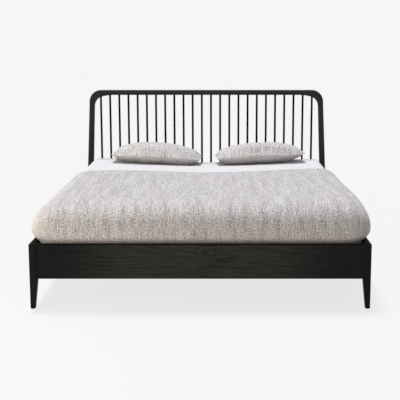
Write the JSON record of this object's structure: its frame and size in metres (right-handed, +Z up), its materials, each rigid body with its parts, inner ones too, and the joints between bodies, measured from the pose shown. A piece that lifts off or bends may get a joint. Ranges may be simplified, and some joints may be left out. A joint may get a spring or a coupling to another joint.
{
  "type": "spindle bed",
  "caption": "Low double bed in black-stained wood with tapered legs and a rounded spindle headboard, made up with a sheet, a blanket and pillows.",
  "frame": {"origin": "on the floor under the middle of the bed's footprint", "axes": "+X to the right as seen from the foot end, +Y towards the headboard, +Z up"},
  "size_m": [1.93, 2.18, 1.1],
  "materials": {
    "black_oak": "black-stained oak under a thin satin lacquer",
    "plain_timber": "planed pale softwood, unfinished",
    "zinc_steel": "zinc-plated steel",
    "nylon": "matt black nylon",
    "webbing": "flat polyester webbing",
    "ticking": "knitted mattress ticking",
    "white_cotton": "plain white cotton sheet",
    "grey_melange": "heathered grey-beige woven fabric"
  },
  "bodies": {
    "bed_frame": {"foot_leg_left": "black_oak", "foot_leg_right": "black_oak", "foot_rail": "black_oak", "side_rail_left": "black_oak", "side_rail_right": "black_oak", "head_post_left": "black_oak", "head_post_right": "black_oak", "head_corner_left": "black_oak", "head_corner_right": "black_oak", "head_top_rail": "black_oak", "head_lower_rail": "black_oak", "spindle_01": "black_oak", "spindle_02": "black_oak", "spindle_03": "black_oak", "spindle_04": "black_oak", "spindle_05": "black_oak", "spindle_06": "black_oak", "spindle_07": "black_oak", "spindle_08": "black_oak", "spindle_09": "black_oak", "spindle_10": "black_oak", "spindle_11": "black_oak", "spindle_12": "black_oak", "spindle_13": "black_oak", "spindle_14": "black_oak", "spindle_15": "black_oak", "spindle_16": "black_oak", "spindle_17": "black_oak", "spindle_18": "black_oak", "spindle_19": "black_oak", "spindle_20": "black_oak", "spindle_21": "black_oak", "spindle_22": "black_oak", "spindle_23": "black_oak", "spindle_24": "black_oak", "side_cleat_left": "plain_timber", "side_cleat_right": "plain_timber", "centre_beam": "plain_timber", "centre_leg_front": "plain_timber", "centre_leg_rear": "plain_timber", "slats": "plain_timber", "arch_dowels": "plain_timber", "rail_dowels": "plain_timber", "beam_hanger_foot": "zinc_steel", "beam_hanger_head": "zinc_steel", "bed_bolts": "zinc_steel", "rail_nuts": "zinc_steel", "cleat_screws": "zinc_steel", "hanger_screws": "zinc_steel", "centre_leg_bolts": "zinc_steel", "leg_glides": "nylon", "slat_tapes": "webbing"},
    "mattress_set": {"mattress": "ticking", "fitted_sheet": "white_cotton", "blanket": "grey_melange"},
    "left_pillow": {"pillow_left": "grey_melange"},
    "right_pillow": {"pillow_right": "grey_melange"},
    "front_levelling_foot": {"levelling_foot_front": "nylon"},
    "rear_levelling_foot": {"levelling_foot_rear": "nylon"}
  },
  "joints": [
    {"name": "mattress_lift", "type": "slide", "parent": "bed_frame", "child": "mattress_set", "axis": [0, 0, 1], "range_m": [0, 0.35]},
    {"name": "left_pillow_lift", "type": "slide", "parent": "mattress_set", "child": "left_pillow", "axis": [0, 0, 1], "range_m": [0, 0.3]},
    {"name": "right_pillow_lift", "type": "slide", "parent": "mattress_set", "child": "right_pillow", "axis": [0, 0, 1], "range_m": [0, 0.3]},
    {"name": "front_foot_screw", "type": "slide", "parent": "bed_frame", "child": "front_levelling_foot", "axis": [0, 0, 1], "range_m": [-0.012, 0]},
    {"name": "rear_foot_screw", "type": "slide", "parent": "bed_frame", "child": "rear_levelling_foot", "axis": [0, 0, 1], "range_m": [-0.012, 0]}
  ]
}
